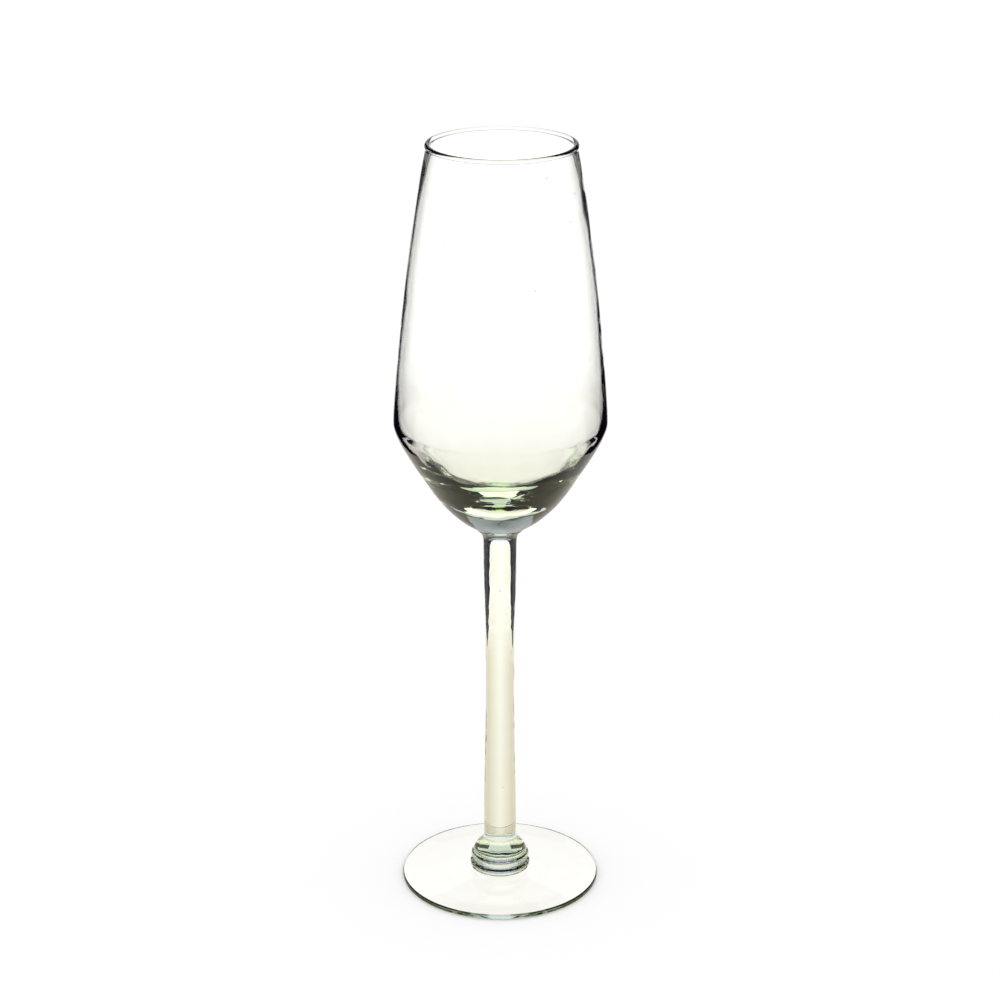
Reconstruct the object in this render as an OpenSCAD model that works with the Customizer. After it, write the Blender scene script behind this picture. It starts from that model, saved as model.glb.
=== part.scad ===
// Champagne glass, hand blown and welded hot from six separate gathers of pale green glass.
// The axis of the glass is Z, it stands on Z = 0, and all sizes are in millimetres.

/* [Foot] */
// Diameter of the foot
foot_d = 60; // [50:0.5:80]
// Thickness of the foot at its rim
foot_edge_t = 1.6; // [1.3:0.1:2.6]
// Rounding of the rim of the foot
foot_edge_r = 0.5; // [0.2:0.05:0.6]
// Height above the table of the seat in the middle of the foot
foot_seat_h = 3.2; // [2.8:0.1:8]
// Depth of the hollow under the foot
foot_hollow = 1; // [0.2:0.1:1.6]
// Width of the flat ring that the glass stands on
foot_land_w = 5; // [2:0.5:10]

/* [Foot ring] */
// Diameter of the ring where it sits on the foot
ring_seat_d = 17.4; // [15:0.1:18.4]
// Largest diameter of the ring
ring_d = 18.8; // [18:0.1:24]
// Height of the ring
ring_h = 2.4; // [1.6:0.1:5]

/* [Stem knop] */
// Diameter of the groove between the ring and the knop
knop_seat_d = 16.6; // [14:0.1:17.4]
// Largest diameter of the bead at the bottom of the knop
knop_d = 17.8; // [17:0.1:24]
// Height of the bead
knop_bead_h = 2.9; // [1.8:0.1:4.5]
// Diameter of the domed shoulder where it rises from the bead
knop_dome_d = 15.8; // [12:0.1:16.6]
// Height of the whole knop
knop_h = 6.8; // [5:0.1:12]

/* [Stem] */
// Length of the stem
stem_len = 98.1; // [50:0.5:150]
// Diameter of the stem where it meets the knop
stem_foot_d = 9.7; // [8:0.1:12]
// Diameter of the stem where it is thinnest
stem_waist_d = 8.5; // [6:0.1:9.5]
// Height of the thinnest place above the lower end of the stem
stem_waist_h = 55; // [15:0.5:85]
// Diameter of the stem where it meets the collar
stem_top_d = 10; // [8:0.1:13]

/* [Bowl collar] */
// Height of the collar
collar_h = 5; // [3:0.1:10]
// Diameter of the collar where it meets the bowl
collar_d = 16.4; // [13.5:0.1:24]
// Softness of the bend from the stem out to the bowl
collar_bend = 2.4; // [0.5:0.1:2.8]

/* [Bowl] */
// Height of the bowl from the collar to the rim
bowl_h = 114.5; // [80:0.5:150]
// Largest diameter of the bowl, at its shoulder
bowl_d = 62.3; // [54:0.1:76]
// Height of the shoulder above the collar
shoulder_h = 32.5; // [28:0.5:40]
// Outer diameter of the lip
rim_d = 43.4; // [34:0.1:52]
// Thickness of the wall under the lip
wall_t = 1.3; // [0.9:0.05:2]
// Thickness of the wall where it is thinnest, about halfway up
thin_t = 0.6; // [0.5:0.05:1.2]
// Thickness of the wall at the shoulder
shoulder_t = 1.2; // [0.8:0.1:2.4]
// How far the rounded lip stands out from the wall
lip_out = 0.25; // [0.1:0.05:0.6]
// How far the rounded lip stands in from the wall
lip_in = 0; // [0:0.05:0.1]
// Thickness of the solid base on the axis
base_t = 9.8; // [7:0.1:16]

/* [Bowl curves] */
// Slope of the underside where it leaves the collar, in degrees
flank_start = 29; // [10:1:45]
// How far that slope carries
flank_run = 6.7; // [3:0.1:9]
// How far out the middle of the flank is, in percent of the way from the collar to the shoulder
flank_out = 55; // [48:0.5:60]
// How high the middle of the flank is, in percent of the height of the shoulder
flank_up = 39.5; // [34:0.5:46]
// Slope of the flank at its middle, in degrees
flank_slope = 57.5; // [50:0.5:64]
// How far the slope at the middle carries down the flank
flank_low_run = 4.2; // [2:0.1:6]
// How far the slope at the middle carries up the flank
flank_high_run = 6.4; // [3:0.1:9]
// How far the flank runs straight up into the shoulder
flank_rise = 4.2; // [1:0.1:8]
// How far the wall runs straight up out of the shoulder
wall_rise = 4.5; // [2:0.1:15]
// Lean of the wall under the lip, in degrees
neck_lean = 10.9; // [4:0.1:14]
// How far that lean carries down the wall
neck_run = 32.6; // [15:0.1:45]
// How far the inner wall runs on below the shoulder
floor_turn = 1.8; // [0.8:0.1:2.6]
// How far in from the inner wall the sloping floor begins
floor_in = 3.6; // [2.6:0.1:5]
// How far below the shoulder the sloping floor begins
floor_drop = 7.4; // [6:0.1:9.5]
// Slope of the floor there, in degrees
floor_slope = 57; // [50:0.5:62]
// How far that slope carries up towards the wall
floor_high_run = 4.4; // [2:0.1:5.2]
// How far that slope carries down towards the axis
floor_low_run = 5.1; // [2:0.1:7]
// How far the floor stays flat from the axis
floor_run = 14.5; // [6:0.1:17]

/* [Hidden] */

// Straight steps in each kind of curve
long_steps = 22;
mid_steps = 12;
short_steps = 8;
lip_steps = 12;

// Each gather stands on the one below it
ring_z = foot_seat_h;
knop_z = ring_z + ring_h;
stem_z = knop_z + knop_h;
collar_z = stem_z + stem_len;
bowl_z = collar_z + collar_h;

// The lip is a round bead on the end of the wall
lip_r = (wall_t + lip_out + lip_in) / 2;
lip_centre = [rim_d / 2 - lip_r, bowl_h - lip_r];
lip_out_angle = acos(1 - lip_out / lip_r);
lip_in_angle = acos(1 - lip_in / lip_r);

clear_glass = [0.80, 0.91, 0.83, 0.55];
thick_glass = [0.66, 0.83, 0.71, 0.65];

// Cubic curve from start to end, pulled towards two handles, without its first point
function curve(start, handle_1, handle_2, end, steps) =
    [for (i = [1:steps])
        let (t = i / steps, u = 1 - t)
        u * u * u * start + 3 * u * u * t * handle_1 + 3 * u * t * t * handle_2 + t * t * t * end];

// Arc round a centre between two angles
function arc(centre, radius, from, to, steps) =
    [for (i = [0:steps])
        let (a = from + (to - from) * i / steps)
        centre + radius * [cos(a), sin(a)]];

// Outline that swells from one radius to a widest one and back in to another
function swell(low_r, wide_r, high_r, low_z, high_z) =
    let (mid_z = (low_z + high_z) / 2, reach = (high_z - low_z) / 4)
    concat(
        [[low_r, low_z]],
        curve([low_r, low_z], [wide_r, low_z], [wide_r, mid_z - reach], [wide_r, mid_z], short_steps),
        curve([wide_r, mid_z], [wide_r, mid_z + reach], [wide_r, high_z], [high_r, high_z], short_steps));

// Solid of revolution at a height
module turned(height, outline) {
    translate([0, 0, height])
        rotate_extrude($fn = 96)
            polygon(outline);
}

// Thin disc: a flat ring to stand on, a shallow hollow inside it and a low cone on top
module foot() {
    rim_r = foot_d / 2;
    land_r = rim_r - foot_edge_r - foot_land_w;
    seat_r = ring_seat_d / 2;
    edge_low = [rim_r - foot_edge_r, foot_edge_r];
    edge_high = [rim_r - foot_edge_r, foot_edge_t - foot_edge_r];
    underside = curve(
        [0, foot_hollow],
        [land_r / 3, foot_hollow],
        [land_r * 2 / 3, 0],
        [land_r, 0],
        long_steps);
    color(clear_glass)
        turned(0, concat(
            [[0, foot_hollow]],
            underside,
            arc(edge_low, foot_edge_r, -90, 0, short_steps),
            arc(edge_high, foot_edge_r, 0, 90, short_steps),
            [[seat_r, foot_seat_h], [0, foot_seat_h]]));
}

// Flattened ring that joins the knop to the foot
module foot_ring() {
    color(thick_glass)
        turned(ring_z, concat(
            [[0, 0]],
            swell(ring_seat_d / 2, ring_d / 2, knop_seat_d / 2, 0, ring_h),
            [[0, ring_h]]));
}

// Button under the stem: a round bead with a domed shoulder above it
module stem_knop() {
    dome_r = knop_dome_d / 2;
    stem_r = stem_foot_d / 2;
    dome_h = knop_h - knop_bead_h;
    dome = curve(
        [dome_r, knop_bead_h],
        [dome_r, knop_bead_h + dome_h / 3],
        [stem_r + dome_h / 3, knop_h - dome_h / 4],
        [stem_r, knop_h],
        short_steps);
    color(thick_glass)
        turned(knop_z, concat(
            [[0, 0]],
            swell(knop_seat_d / 2, knop_d / 2, dome_r, 0, knop_bead_h),
            dome,
            [[0, knop_h]]));
}

// Drawn rod, thinnest a little above its middle
module stem() {
    foot_r = stem_foot_d / 2;
    waist_r = stem_waist_d / 2;
    top_r = stem_top_d / 2;
    lower_reach = stem_waist_h / 2;
    upper_reach = (stem_len - stem_waist_h) / 2;
    lower = curve(
        [foot_r, 0],
        [foot_r, lower_reach],
        [waist_r, stem_waist_h - lower_reach],
        [waist_r, stem_waist_h],
        long_steps);
    upper = curve(
        [waist_r, stem_waist_h],
        [waist_r, stem_waist_h + upper_reach],
        [top_r, stem_len - upper_reach],
        [top_r, stem_len],
        long_steps);
    color(clear_glass)
        turned(stem_z, concat([[0, 0], [foot_r, 0]], lower, upper, [[0, stem_len]]));
}

// Flared bit of glass between the stem and the bowl
module bowl_collar() {
    stem_r = stem_top_d / 2;
    top_r = collar_d / 2;
    bend = curve(
        [stem_r, 0],
        [stem_r, collar_bend],
        [top_r - collar_bend, collar_h - collar_bend],
        [top_r, collar_h],
        short_steps);
    color(clear_glass)
        turned(collar_z, concat([[0, 0], [stem_r, 0]], bend, [[0, collar_h]]));
}

// Blown bowl: a solid base, a shoulder, a wall that leans in, and a rounded lip
module bowl() {
    seat = [collar_d / 2, 0];
    shoulder = [bowl_d / 2, shoulder_h];
    neck = lip_centre + lip_r * [cos(lip_out_angle), -sin(lip_out_angle)];

    // Outside, from the collar over the flank and the shoulder to the neck
    middle = [seat[0] + (shoulder[0] - seat[0]) * flank_out / 100, shoulder_h * flank_up / 100];
    slope = [cos(flank_slope), sin(flank_slope)];
    low_flank = curve(
        seat,
        seat + flank_run * [cos(flank_start), sin(flank_start)],
        middle - flank_low_run * slope,
        middle,
        mid_steps);
    high_flank = curve(
        middle,
        middle + flank_high_run * slope,
        shoulder - [0, flank_rise],
        shoulder,
        mid_steps);
    outer_wall = concat([shoulder], curve(
        shoulder,
        shoulder + [0, wall_rise],
        neck + neck_run * [sin(neck_lean), -cos(neck_lean)],
        neck,
        long_steps));

    lip = arc(lip_centre, lip_r, -lip_out_angle, 180 + lip_in_angle, lip_steps);

    // Inside, the wall is thinnest halfway up and follows the outside
    thin_pull = (8 * thin_t - shoulder_t - wall_t) / 6;
    thickness = concat([shoulder_t], curve(shoulder_t, thin_pull, thin_pull, wall_t, long_steps));
    inner_wall = [for (i = [long_steps:-1:0]) outer_wall[i] - [thickness[i], 0]];

    // The floor carries on from the inner wall and slopes down to a flat bottom
    corner = shoulder - [shoulder_t, 0];
    turn = [shoulder_t - thin_pull, wall_rise] * floor_turn / wall_rise;
    cone = corner - [floor_in, floor_drop];
    fall = [cos(floor_slope), sin(floor_slope)];
    high_floor = curve(corner, corner - turn, cone + floor_high_run * fall, cone, mid_steps);
    low_floor = curve(cone, cone - floor_low_run * fall, [floor_run, base_t], [0, base_t], mid_steps);

    color(clear_glass)
        turned(bowl_z, concat(
            [[0, 0], seat],
            low_flank,
            high_flank,
            [for (i = [1:long_steps - 1]) outer_wall[i]],
            lip,
            inner_wall,
            high_floor,
            low_floor));
}

foot();
foot_ring();
stem_knop();
stem();
bowl_collar();
bowl();
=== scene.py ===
import math

import bpy
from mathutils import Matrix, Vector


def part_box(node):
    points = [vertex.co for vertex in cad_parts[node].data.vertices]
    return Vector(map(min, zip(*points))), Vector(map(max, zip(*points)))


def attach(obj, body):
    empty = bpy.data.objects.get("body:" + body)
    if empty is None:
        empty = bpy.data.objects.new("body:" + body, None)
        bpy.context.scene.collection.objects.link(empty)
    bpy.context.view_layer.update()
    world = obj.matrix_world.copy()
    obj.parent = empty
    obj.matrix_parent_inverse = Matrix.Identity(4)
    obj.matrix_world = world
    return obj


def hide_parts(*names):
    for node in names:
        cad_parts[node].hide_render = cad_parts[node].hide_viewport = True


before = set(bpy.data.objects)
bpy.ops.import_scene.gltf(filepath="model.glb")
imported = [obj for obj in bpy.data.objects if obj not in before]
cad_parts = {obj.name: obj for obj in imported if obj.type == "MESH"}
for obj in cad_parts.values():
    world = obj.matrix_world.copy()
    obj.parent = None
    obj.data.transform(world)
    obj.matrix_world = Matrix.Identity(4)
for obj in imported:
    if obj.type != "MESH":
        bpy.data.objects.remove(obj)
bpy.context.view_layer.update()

MM = 0.001
BODY = "root"
SLOT = "pale_green_glass"

# Where the photograph was taken from
CAMERA_BACK = 734.7 * MM
CAMERA_UP = 400.6 * MM
CAMERA_PITCH = math.radians(20.69)
FOCAL_PIXELS = 2674
PHOTO_PIXELS = 1000
SENSOR_MM = 36

# Height of the whole glass
GLASS_H = 230 * MM

# Steps round the axis, and along a long, a middling and a short stretch of an outline
ROUND_STEPS = 192
LONG_STEPS = 90
MID_STEPS = 44
SHORT_STEPS = 14

# Radii where two pieces meet
FOOT_SEAT_R = 8.7 * MM
GROOVE_R = 8.3 * MM
STEM_FOOT_R = 4.85 * MM
STEM_TOP_R = 5 * MM
COLLAR_R = 8.2 * MM

# Air left between two welded pieces
WELD_GAP = 0.01 * MM


def deselect_all():
    bpy.ops.object.select_all(action="DESELECT")


def along(angle, length):
    """A step in an outline, at an angle in degrees above the horizontal."""
    return length * math.cos(math.radians(angle)), length * math.sin(math.radians(angle))


def plus(point, step, times=1):
    return point[0] + times * step[0], point[1] + times * step[1]


def curve(start, handle_1, handle_2, end, steps):
    """Points of a cubic curve, without its first one."""
    points = []
    for i in range(1, steps + 1):
        t = i / steps
        u = 1 - t
        shares = (u * u * u, 3 * u * u * t, 3 * u * t * t, t * t * t)
        corners = (start, handle_1, handle_2, end)
        points.append(tuple(sum(s * c[k] for s, c in zip(shares, corners)) for k in (0, 1)))
    return points


def arc(centre, radius, first, last, steps):
    """Points of an arc between two angles in degrees."""
    return [plus(centre, along(first + (last - first) * i / steps, radius)) for i in range(steps + 1)]


def swell(low, wide_r, high, steps):
    """Outline that swells from a soft groove to a widest radius and back in to another soft groove."""
    reach = (0, (high[1] - low[1]) / 4)
    wide = (wide_r, (low[1] + high[1]) / 2)
    rising = curve(low, plus(low, reach), plus(wide, reach, -1), wide, steps)
    falling = curve(wide, plus(wide, reach), plus(high, reach, -1), high, steps)
    return [low] + rising + falling


def straight(start, end, steps):
    """Points along a straight line, without its first one."""
    run = (end[0] - start[0], end[1] - start[1])
    return [plus(start, run, i / steps) for i in range(1, steps + 1)]


def draw_outline(name, points):
    """Draws a line by extruding one vertex from point to point, and leaves all of it selected for editing."""
    deselect_all()
    bpy.ops.mesh.primitive_plane_add(size=MM, location=points[0])
    drawn = bpy.context.active_object
    drawn.name = name
    drawn.data.name = name
    bpy.ops.object.transform_apply(location=True, rotation=True, scale=True)
    bpy.ops.object.mode_set(mode="EDIT")
    bpy.ops.mesh.select_all(action="SELECT")
    bpy.ops.mesh.merge(type="CENTER")
    for before, after in zip(points, points[1:]):
        step = tuple(a - b for a, b in zip(after, before))
        bpy.ops.mesh.extrude_vertices_move(TRANSFORM_OT_translate={"value": step})
    bpy.ops.mesh.select_all(action="SELECT")
    return drawn


def turn_on_lathe(name, outline):
    """Draws half an outline and spins it round the axis."""
    piece = draw_outline(name, [(r, 0, z) for r, z in outline])
    bpy.ops.mesh.spin(steps=ROUND_STEPS, angle=2 * math.pi, center=(0, 0, 0), axis=(0, 0, 1))
    bpy.ops.mesh.select_all(action="SELECT")
    bpy.ops.mesh.remove_doubles(threshold=0.001 * MM)
    bpy.ops.mesh.normals_make_consistent(inside=False)
    bpy.ops.object.mode_set(mode="OBJECT")
    bpy.ops.object.shade_smooth_by_angle(angle=math.radians(40))
    return piece


def rise(value, first, last):
    """0 at the first value, 1 at the last one, and a straight line between them."""
    return min(1, max(0, (value - first) / (last - first)))


def uneven(piece, share, reach, direction="NORMAL", waves=None):
    """Moves the skin of a piece by a reach, of which each place takes a share, in waves if asked for."""
    deselect_all()
    piece.select_set(True)
    bpy.context.view_layer.objects.active = piece
    group = piece.vertex_groups.new(name="uneven")
    for vertex in piece.data.vertices:
        weight = share(vertex.co)
        if weight > 0:
            group.add([vertex.index], weight, "REPLACE")
    bpy.ops.object.modifier_add(type="DISPLACE")
    change = piece.modifiers[-1]
    change.direction = direction
    change.vertex_group = group.name
    change.strength = reach
    change.mid_level = 0
    if waves:
        texture = bpy.data.textures.new("hand_waves", type="CLOUDS")
        texture.noise_scale = waves
        change.texture = texture
        change.mid_level = 0.5
    bpy.ops.object.modifier_apply(modifier=change.name)
    piece.vertex_groups.clear()


def add_seeds(piece, places, radius, stretch):
    """Tiny air bubbles inside the glass."""
    deselect_all()
    piece.select_set(True)
    bpy.context.view_layer.objects.active = piece
    bpy.ops.object.mode_set(mode="EDIT")
    for place in places:
        bpy.ops.mesh.select_all(action="DESELECT")
        bpy.ops.mesh.primitive_uv_sphere_add(segments=16, ring_count=10, radius=radius, location=place)
        bpy.ops.transform.resize(value=(1, 1, stretch), center_override=place)
        bpy.ops.mesh.flip_normals()
        bpy.ops.mesh.faces_shade_smooth()
    bpy.ops.mesh.select_all(action="DESELECT")
    bpy.ops.object.mode_set(mode="OBJECT")


class Wire:
    """One output of a shader node. Sums and products of wires add Math nodes."""

    def __init__(self, tree, socket):
        self.tree = tree
        self.socket = socket

    def node(self, kind, settings=None, sockets=None, output=0):
        """Adds a node, sets it up, fills its sockets with values or wires, and returns an output."""
        made = self.tree.nodes.new(kind)
        for key, value in (settings or {}).items():
            setattr(made, key, value)
        for key, value in (sockets or {}).items():
            if isinstance(value, Wire):
                self.tree.links.new(value.socket, made.inputs[key])
            else:
                made.inputs[key].default_value = value
        return Wire(self.tree, made.outputs[output] if made.outputs else None)

    def ramp(self, stops):
        """Colours along this wire, as pairs of a place from 0 to 1 and a colour."""
        made = self.tree.nodes.new("ShaderNodeValToRGB")
        self.tree.links.new(self.socket, made.inputs[0])
        elements = made.color_ramp.elements
        elements.remove(elements[0])
        for place, colour in stops:
            element = elements[0] if place == stops[0][0] else elements.new(place)
            element.position = place
            element.color = colour + (1,)
        return Wire(self.tree, made.outputs[0])

    def math(self, operation, first, second):
        return self.node("ShaderNodeMath", {"operation": operation}, {0: first, 1: second})

    def __add__(self, other):
        return self.math("ADD", self, other)

    def __sub__(self, other):
        return self.math("SUBTRACT", self, other)

    def __rsub__(self, other):
        return self.math("SUBTRACT", other, self)

    def __mul__(self, other):
        return self.math("MULTIPLY", self, other)

    __radd__ = __add__
    __rmul__ = __mul__


def new_material(name):
    """An empty node material, and a wire to build on."""
    material = bpy.data.materials.new(name)
    material.use_nodes = True
    material.node_tree.nodes.clear()
    return material, Wire(material.node_tree, None)


def glass_material(name, density, welds):
    """Pale green glass with painted warm shade in the lower stem, which stands for the table's shadow seen
    through it, and faint streaks from the working of it.
    """
    material, start = new_material(name)
    place = start.node("ShaderNodeTexCoord", output="Object")
    height = start.node("ShaderNodeSeparateXYZ", None, {0: place}, output="Z")
    # Painted shade by height: a narrow dark band low down and warm shade up the lower stem, standing for the
    # table's shadow seen through the glass
    lower_stem_painted_shade = (height * (1 / GLASS_H)).ramp([
        (0.04, (1.0, 1.0, 1.0)),
        (0.05, (0.76, 0.78, 0.63)),
        (0.06, (0.90, 0.88, 0.83)),
        (0.35, (0.96, 0.95, 0.92)),
        (0.48, (1.0, 1.0, 1.0)),
    ])
    stretched = start.node("ShaderNodeMapping", None, {"Vector": place, "Scale": (160, 160, 9)})
    streaks = start.node("ShaderNodeTexNoise", None, {"Vector": stretched, "Scale": 1.0, "Detail": 2.0})
    streaked = streaks.ramp([(0.3, (0.985, 0.983, 0.975)), (0.6, (1.0, 1.0, 1.0))])
    colour = start.node("ShaderNodeMix", {"data_type": "RGBA", "blend_type": "MULTIPLY"}, {
        "Factor": 1.0,
        6: lower_stem_painted_shade,
        7: streaked,
    }, output=2)
    waves = start.node("ShaderNodeTexNoise", None, {"Vector": place, "Scale": 110.0, "Detail": 1.0})
    wavy = start.node("ShaderNodeBump", None, {"Strength": 0.1, "Distance": 0.1 * MM, "Height": waves})
    glass = start.node("ShaderNodeBsdfPrincipled", None, {
        "Base Color": colour,
        "Roughness": streaks * 0.012,
        "Normal": wavy,
        "IOR": 1.5,
        "Transmission Weight": 1.0,
        "Specular Tint": (0.15, 0.15, 0.15, 1),
    })
    tint = start.node("ShaderNodeVolumeAbsorption", None, {
        "Color": (0.643, 0.893, 0.214, 1),
        "Density": density,
    })
    # Two welded ends are one body of glass, so light goes straight through them
    welded = 0
    for weld in welds:
        off = start.math("ABSOLUTE", height - weld, 0)
        welded = start.math("MAXIMUM", start.math("LESS_THAN", off, 1.5 * WELD_GAP), welded)
    clear = start.node("ShaderNodeBsdfTransparent")
    surface = start.node("ShaderNodeMixShader", None, {0: welded, 1: glass, 2: clear})
    start.node("ShaderNodeOutputMaterial", None, {"Surface": surface, "Volume": tint})
    return material


def make_foot():
    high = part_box("foot")[1]
    rim_r = high.x
    seat = (FOOT_SEAT_R, high.z)
    edge_t = 1.6 * MM
    edge_r = 0.5 * MM
    hollow = 1 * MM
    land_w = 5 * MM
    land_r = rim_r - edge_r - land_w
    edge_low = (rim_r - edge_r, edge_r)
    edge_high = (rim_r - edge_r, edge_t - edge_r)
    underside = curve((0, hollow), (land_r / 3, hollow), (land_r * 2 / 3, 0), (land_r, 0), MID_STEPS)
    land = straight((land_r, 0), (rim_r - edge_r, 0), 6)
    rim = arc(edge_low, edge_r, -90, 0, SHORT_STEPS)[1:] + arc(edge_high, edge_r, 0, 90, SHORT_STEPS)
    top = straight((rim_r - edge_r, edge_t), seat, MID_STEPS)
    middle = straight(seat, (0, high.z), 6)
    foot = turn_on_lathe("foot_disc", [(0, hollow)] + underside + land + rim + top + middle)
    return foot, [high.z]


def make_foot_ring():
    low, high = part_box("foot_ring")
    bottom = low.z + WELD_GAP
    ring_r = 9.1 * MM
    side = swell((FOOT_SEAT_R, bottom), ring_r, (GROOVE_R, high.z), SHORT_STEPS)
    outline = [(0, bottom)] + straight((0, bottom), (FOOT_SEAT_R, bottom), 4) + side[1:]
    outline += straight((GROOVE_R, high.z), (0, high.z), 4)
    return turn_on_lathe("foot_ring_bead", outline), [bottom, high.z]


def make_stem_knop():
    low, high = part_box("stem_knop")
    bottom = low.z + WELD_GAP
    bead_r = 8.8 * MM
    bead_h = 2.9 * MM
    dome_foot = (7.9 * MM, low.z + bead_h)
    dome_h = high.z - dome_foot[1]
    side = swell((GROOVE_R, bottom), bead_r, dome_foot, SHORT_STEPS)
    dome = curve(
        dome_foot,
        plus(dome_foot, (0, dome_h / 3)),
        (STEM_FOOT_R + dome_h / 3, high.z - dome_h / 4),
        (STEM_FOOT_R, high.z),
        SHORT_STEPS,
    )
    outline = [(0, bottom)] + straight((0, bottom), (GROOVE_R, bottom), 4) + side[1:] + dome
    outline += straight((STEM_FOOT_R, high.z), (0, high.z), 4)
    knop = turn_on_lathe("stem_knop_button", outline)

    def share(co):
        return rise(co.z, bottom + 0.3 * MM, bottom + 2 * MM) * rise(co.z, high.z, high.z - 2 * MM)

    uneven(knop, share, 0.2 * MM, waves=6 * MM)
    return knop, [bottom, high.z]


def make_stem():
    low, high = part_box("stem")
    start = (STEM_FOOT_R, low.z + WELD_GAP)
    waist = (4.25 * MM, low.z + 55 * MM)
    end = (STEM_TOP_R, high.z)
    lower_reach = (0, (waist[1] - start[1]) / 2)
    upper_reach = (0, (end[1] - waist[1]) / 2)
    lower = curve(start, plus(start, lower_reach), plus(waist, lower_reach, -1), waist, LONG_STEPS)
    upper = curve(waist, plus(waist, upper_reach), plus(end, upper_reach, -1), end, LONG_STEPS)
    outline = [(0, start[1])] + straight((0, start[1]), start, 3) + lower + upper
    outline += straight(end, (0, end[1]), 3)
    stem = turn_on_lathe("stem_rod", outline)

    def share(co):
        return rise(co.z, low.z + 2 * MM, low.z + 8 * MM) * rise(co.z, high.z - MM, high.z - 6 * MM)

    uneven(stem, share, 0.18 * MM, waves=9 * MM)
    seeds = [(0, -3 * MM, 95.8 * MM), (0.8 * MM, -3.2 * MM, 30.9 * MM)]
    add_seeds(stem, seeds, radius=0.15 * MM, stretch=2.5)
    return stem, [start[1], end[1]]


def make_bowl_collar():
    low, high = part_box("bowl_collar")
    start = (STEM_TOP_R, low.z + WELD_GAP)
    end = (COLLAR_R, high.z)
    bend = 2.4 * MM
    side = curve(start, plus(start, (0, bend)), plus(end, (-bend, -bend)), end, 2 * SHORT_STEPS)
    outline = [(0, start[1])] + straight((0, start[1]), start, 4) + side
    outline += straight(end, (0, end[1]), 5)
    return turn_on_lathe("bowl_collar_flare", outline), [start[1], end[1]]


def make_bowl():
    low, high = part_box("bowl")
    seat = (COLLAR_R, low.z + WELD_GAP)
    shoulder = (high.x, low.z + 32.5 * MM)
    rim_r = 21.7 * MM

    # Wall thickness under the lip, where the wall is thinnest, and at the shoulder
    wall_t = 1.3 * MM
    thin_t = 0.6 * MM
    shoulder_t = 1.2 * MM
    lip_out = 0.25 * MM
    floor_z = low.z + 9.8 * MM

    lip_r = (wall_t + lip_out) / 2
    lip_centre = (rim_r - lip_r, high.z - lip_r)
    lip_out_angle = math.degrees(math.acos(1 - lip_out / lip_r))
    neck = plus(lip_centre, along(-lip_out_angle, lip_r))
    lip = arc(lip_centre, lip_r, -lip_out_angle, 180, 2 * SHORT_STEPS)

    flank_slope = 57.5
    middle = (seat[0] + (shoulder[0] - seat[0]) * 0.55, low.z + (shoulder[1] - low.z) * 0.395)
    low_flank = curve(
        seat,
        plus(seat, along(29, 6.7 * MM)),
        plus(middle, along(flank_slope, -4.2 * MM)),
        middle,
        MID_STEPS,
    )
    high_flank = curve(
        middle,
        plus(middle, along(flank_slope, 6.4 * MM)),
        plus(shoulder, (0, -4.2 * MM)),
        shoulder,
        MID_STEPS,
    )
    wall_rise = 4.5 * MM
    neck_lean = 10.9
    outer_wall = [shoulder] + curve(
        shoulder,
        plus(shoulder, (0, wall_rise)),
        plus(neck, along(neck_lean - 90, 32.6 * MM)),
        neck,
        LONG_STEPS,
    )

    # The inner wall follows the outer one at a thickness that is least halfway up
    thin_pull = (8 * thin_t - shoulder_t - wall_t) / 6
    thickness = [(shoulder_t, 0)] + curve(
        (shoulder_t, 0), (thin_pull, 0), (thin_pull, 0), (wall_t, 0), LONG_STEPS)
    inner_wall = [plus(point, t, -1) for point, t in zip(outer_wall, thickness)]
    inner_wall.reverse()

    # The floor carries on from the inner wall and slopes down to a flat bottom
    floor_slope = 57
    corner = (shoulder[0] - shoulder_t, shoulder[1])
    cone = plus(corner, (-3.6 * MM, -7.4 * MM))
    turn = (shoulder_t - thin_pull, wall_rise)
    high_floor = curve(
        corner,
        plus(corner, turn, -1.8 * MM / wall_rise),
        plus(cone, along(floor_slope, 4.4 * MM)),
        cone,
        MID_STEPS,
    )
    low_floor = curve(
        cone,
        plus(cone, along(floor_slope, -5.1 * MM)),
        (14.5 * MM, floor_z),
        (0, floor_z),
        MID_STEPS,
    )

    outline = [(0, seat[1])] + straight((0, seat[1]), seat, 5) + low_flank + high_flank
    outline += outer_wall[1:-1] + lip + inner_wall + high_floor + low_floor
    bowl = turn_on_lathe("bowl_blown", outline)

    # Hand-made unevenness: waves in the thick base, fainter ones up the wall, and a slight lean
    lip_low = high.z - 6 * MM

    def base_share(co):
        return rise(co.z, seat[1] + MM, seat[1] + 5 * MM) * rise(co.z, shoulder[1] + 8 * MM, floor_z)

    def wall_share(co):
        return rise(co.z, floor_z, shoulder[1]) * rise(co.z, high.z - 2 * MM, lip_low)

    uneven(bowl, base_share, 0.5 * MM, waves=14 * MM)
    uneven(bowl, wall_share, 0.12 * MM, waves=22 * MM)
    uneven(bowl, lambda co: rise(co.z, seat[1], high.z), 0.5 * MM, direction="X")

    # Seeds in the front of the wall, in mm across and up
    specks = ((-15.4, 206.1), (9.8, 194), (12.6, 224), (20.3, 218), (19.2, 211), (26.5, 183), (24.9, 171))
    seeds = []
    for x, z in specks:
        outer = min(outer_wall, key=lambda point: abs(point[1] - z * MM))
        inner = min(inner_wall, key=lambda point: abs(point[1] - z * MM))
        middle_r = (outer[0] + inner[0]) / 2
        seeds.append((x * MM, -math.sqrt(middle_r ** 2 - (x * MM) ** 2), z * MM))
    add_seeds(bowl, seeds, radius=0.2 * MM, stretch=1.2)
    return bowl, [seat[1]]


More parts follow.
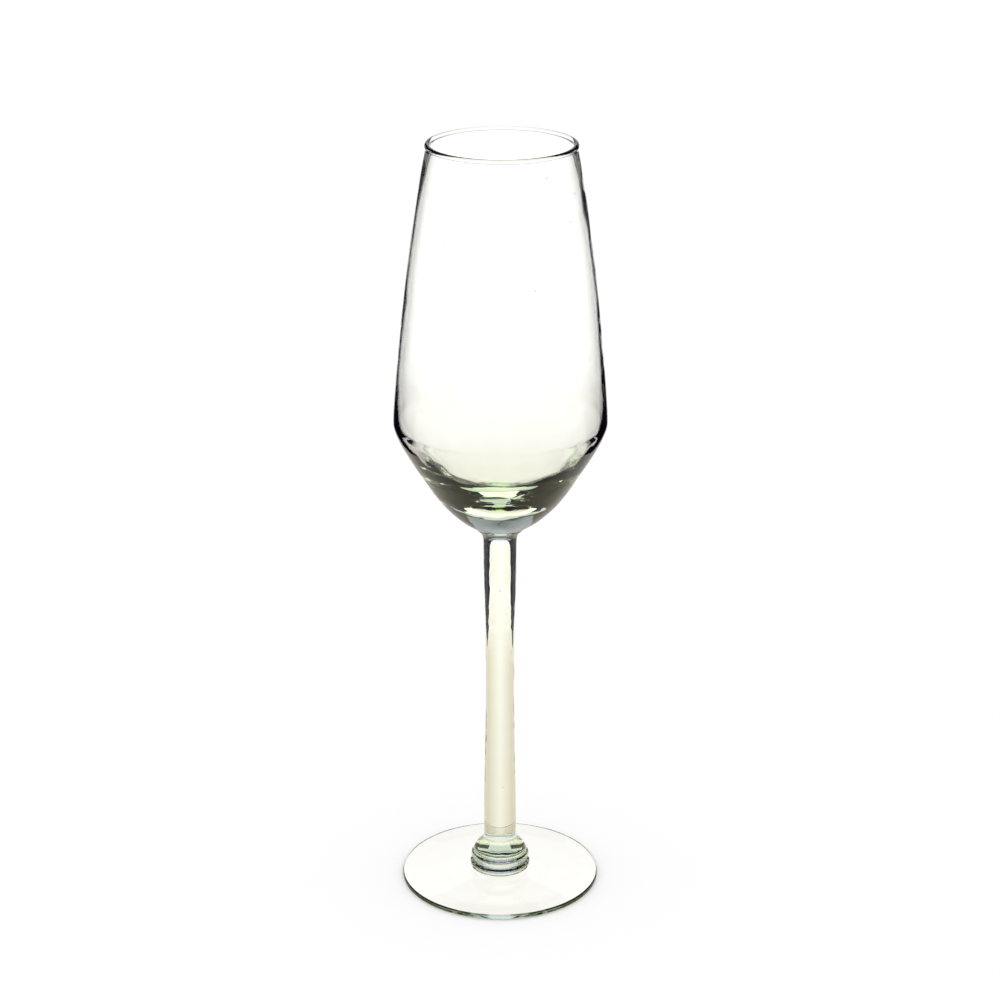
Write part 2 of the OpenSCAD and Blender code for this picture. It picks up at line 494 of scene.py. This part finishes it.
def make_camera():
    data = bpy.data.cameras.new("camera")
    camera = bpy.data.objects.new("camera", data)
    bpy.context.scene.collection.objects.link(camera)
    data.sensor_width = SENSOR_MM
    data.lens = SENSOR_MM * FOCAL_PIXELS / PHOTO_PIXELS
    camera.location = (0, -CAMERA_BACK, CAMERA_UP)
    camera.rotation_euler = (math.pi / 2 - CAMERA_PITCH, 0, 0)
    bpy.context.scene.camera = camera
    return camera


def make_floor():
    """White table with a soft shadow; the glass mirrors it in a painted warm-grey shade instead of its lit
    white.
    """
    deselect_all()
    bpy.ops.mesh.primitive_plane_add(size=6, location=(0, 0, -0.05 * MM))
    floor = bpy.context.active_object
    floor.name = "floor"
    material, start = new_material("white_table")
    matte = start.node("ShaderNodeBsdfDiffuse", None, {"Color": (0.9, 0.9, 0.9, 1)})
    glow = start.node("ShaderNodeEmission", None, {"Color": (1, 1, 1, 1), "Strength": 0.14})
    both = start.node("ShaderNodeAddShader", None, {0: matte, 1: glow})
    # Painted shade: in reflections the white table shows as a warm grey
    painted_mirror_shade = start.node("ShaderNodeEmission", None, {"Color": (0.78, 0.74, 0.67, 1), "Strength": 1.0})
    mirrored = start.math(
        "MAXIMUM",
        start.node("ShaderNodeLightPath", output="Is Glossy Ray"),
        start.node("ShaderNodeLightPath", output="Is Transmission Ray"),
    )
    seen = start.node("ShaderNodeMixShader", None, {0: mirrored, 1: both, 2: painted_mirror_shade})
    start.node("ShaderNodeOutputMaterial", None, {"Surface": seen})
    floor.data.materials.append(material)
    floor.visible_transmission = False


def make_world():
    """Plain white studio."""
    world = bpy.data.worlds.new("studio")
    bpy.context.scene.world = world
    world.use_nodes = True
    world.node_tree.nodes.clear()
    start = Wire(world.node_tree, None)
    sky = start.node("ShaderNodeBackground", None, {"Color": (1, 1, 1, 1), "Strength": 1.0})
    start.node("ShaderNodeOutputWorld", None, {"Surface": sky})


def cloth_material(name, colour):
    material, start = new_material(name)
    cloth = start.node("ShaderNodeEmission", None, {"Color": colour + (1,), "Strength": 1.0})
    start.node("ShaderNodeOutputMaterial", None, {"Surface": cloth})
    return material


def hang_on_camera(card, camera):
    """Only the glass sees the card, and it keeps its place beside the camera in every view."""
    card.visible_camera = False
    card.visible_diffuse = False
    card.visible_shadow = False
    bpy.context.view_layer.update()
    card.parent = camera
    card.matrix_parent_inverse = camera.matrix_world.inverted()


def make_backdrop(camera):
    """White sweep that the glass shows: painted warm shade where it looks down to the table, cool above its
    edge.
    """
    far = 20
    deselect_all()
    middle = (0, 0, GLASS_H / 2)
    bpy.ops.mesh.primitive_uv_sphere_add(radius=far, segments=64, ring_count=32, location=middle)
    backdrop = bpy.context.active_object
    backdrop.name = "backdrop"
    material, start = new_material("white_sweep")
    place = start.node("ShaderNodeTexCoord", output="Object")
    sideways, backward, upward = (
        start.node("ShaderNodeSeparateXYZ", None, {0: place}, output=axis) * (1 / far) for axis in "XYZ")
    # Painted warm shade at the lowest places, where the glass looks steeply down at the table beside its foot
    level = (upward * 0.5 + 0.5).ramp([
        (0.15, (0.98, 0.96, 0.89)),
        (0.25, (1.03, 1.01, 0.97)),
        (0.325, (1.10, 1.09, 1.05)),
        (0.345, (1.30, 1.30, 1.28)),
        (0.375, (1.42, 1.42, 1.42)),
        (0.44, (1.20, 1.20, 1.20)),
        (0.49, (0.84, 0.87, 0.85)),
        (0.54, (0.68, 0.72, 0.73)),
        (0.65, (0.80, 0.82, 1.05)),
    ])
    # Sheet of the table with painted warm shade, darker to the sides, where only the stem looks
    out = start.math("ABSOLUTE", sideways, 0)
    aside = start.node("ShaderNodeMapRange", None, {"Value": out, "From Min": 0.05, "From Max": 0.6})
    steep = start.node("ShaderNodeMapRange", None, {
        "Value": upward,
        "From Min": -0.34,
        "From Max": -0.4,
    })
    warm = start.node("ShaderNodeMix", {"data_type": "RGBA", "blend_type": "MULTIPLY"}, {
        "Factor": aside * steep,
        6: level,
        7: (0.78, 0.73, 0.64, 1),
    }, output=2)
    # Cool light on the table in front of the glass
    front = start.node("ShaderNodeMapRange", None, {
        "Value": backward,
        "From Min": 0.05,
        "From Max": -0.25,
    })
    seen = start.node("ShaderNodeMix", {"data_type": "RGBA"}, {
        "Factor": front,
        6: warm,
        7: (0.88, 0.96, 1.06, 1),
    }, output=2)
    sweep = start.node("ShaderNodeEmission", None, {"Color": seen, "Strength": 1.0})
    start.node("ShaderNodeOutputMaterial", None, {"Surface": sweep})
    backdrop.data.materials.append(material)
    hang_on_camera(backdrop, camera)


def make_tent(camera):
    """Dark tent round the glass with a narrow door in its slanted back and a pale gap in its roof."""
    half_w = 0.6
    height = 1.2
    front, back = -1.2, 2.6
    back_at_floor = 0.825
    gap_front, gap_back = -0.05, 0.62
    door, low_door = math.radians(10.5), math.radians(28)
    wings_low, far_end = 0.27, 1.7
    deselect_all()
    bpy.ops.mesh.primitive_cube_add(
        size=1, location=(0, (front + back) / 2, height / 2), scale=(2 * half_w, back - front, height))
    tent = bpy.context.active_object
    tent.name = "tent"
    bpy.ops.object.transform_apply(location=True, rotation=True, scale=True)
    bpy.ops.object.mode_set(mode="EDIT")
    bpy.ops.mesh.select_all(action="SELECT")
    slant = (0, height, back_at_floor - back)
    bpy.ops.mesh.bisect(plane_co=(0, back_at_floor, 0), plane_no=slant, clear_outer=True, use_fill=True)
    for y in (gap_front, gap_back):
        bpy.ops.mesh.select_all(action="SELECT")
        bpy.ops.mesh.bisect(plane_co=(0, y, 0), plane_no=(0, 1, 0))
    bpy.ops.mesh.select_all(action="SELECT")
    bpy.ops.mesh.bisect(plane_co=(0, far_end, 0), plane_no=(0, 1, 0), clear_outer=True)
    bpy.ops.mesh.select_all(action="SELECT")
    bpy.ops.mesh.bisect(plane_co=(0, 0, wings_low), plane_no=(0, 0, 1))
    for angle in (door, -door, low_door, -low_door):
        bpy.ops.mesh.select_all(action="SELECT")
        bpy.ops.mesh.bisect(plane_co=(0, 0, 0), plane_no=(math.cos(angle), -math.sin(angle), 0))
    bpy.ops.mesh.select_all(action="DESELECT")
    bpy.ops.object.mode_set(mode="OBJECT")
    for face in tent.data.polygons:
        centre = face.center
        width = door if centre.z > wings_low else low_door
        in_door = face.normal.y > 0.3 and abs(centre.x) < centre.y * math.tan(width)
        face.select = centre.z < 0.01 or in_door
    bpy.ops.object.mode_set(mode="EDIT")
    bpy.ops.mesh.delete(type="FACE")
    bpy.ops.object.mode_set(mode="OBJECT")
    tent.data.materials.append(cloth_material("dark_cloth", (0.030, 0.023, 0.008)))
    tent.data.materials.append(cloth_material("pale_gap", (0.36, 0.38, 0.56)))
    tent.data.materials.append(cloth_material("dark_lintel", (0.012, 0.011, 0.02)))
    tent.data.materials.append(cloth_material("dark_back", (0.010, 0.009, 0.022)))
    # The roof takes the first three cloths from front to back, and the slanted back the last one
    for face in tent.data.polygons:
        if face.normal.y > 0.3:
            face.material_index = 3
        if face.center.z > height - 0.01:
            face.material_index = (face.center.y > gap_front) + (face.center.y > gap_back)
    hang_on_camera(tent, camera)


def make_leaves(camera):
    """Two dark leaves of the table, left and right behind the glass."""
    inner_edge = [(0.145, 0.1), (0.13, 0.2), (0.125, 0.27), (0.16, 0.42)]
    inner_edge += [(0.18, 0.62), (0.25, 0.8), (0.32, 0.95), (0.5, 2.4)]
    outline = inner_edge + [(3, 2.4), (3, 0.1)]
    leaf_z = 1 * MM
    leaves = draw_outline("table_leaves", [(x, y, leaf_z) for x, y in outline])
    bpy.ops.mesh.edge_face_add()
    bpy.ops.object.mode_set(mode="OBJECT")
    bpy.ops.object.modifier_add(type="MIRROR")
    bpy.ops.object.modifier_apply(modifier=leaves.modifiers[0].name)
    leaves.data.materials.append(cloth_material("dark_leaf", (0.010, 0.009, 0.022)))
    hang_on_camera(leaves, camera)


camera = make_camera()
make_floor()
make_world()
make_backdrop(camera)
make_tent(camera)
make_leaves(camera)

makers = {
    "foot": make_foot,
    "foot_ring": make_foot_ring,
    "stem_knop": make_stem_knop,
    "stem": make_stem,
    "bowl_collar": make_bowl_collar,
    "bowl": make_bowl,
}
made = {node: make() for node, make in makers.items()}
welds = []
for piece, joints in made.values():
    welds += [z for z in joints if all(abs(z - weld) > 2 * WELD_GAP for weld in welds)]
glass = glass_material(SLOT, 13, welds)
clear_glass = glass_material("clear_glass", 4, welds)
for node, (piece, joints) in made.items():
    piece.data.materials.append(clear_glass if node in ("foot_ring", "stem_knop") else glass)
    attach(piece, BODY)
    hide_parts(node)

scene = bpy.context.scene
scene.view_settings.view_transform = "Standard"
scene.cycles.max_bounces = 32
scene.cycles.transmission_bounces = 32
scene.cycles.glossy_bounces = 8
scene.cycles.transparent_max_bounces = 32
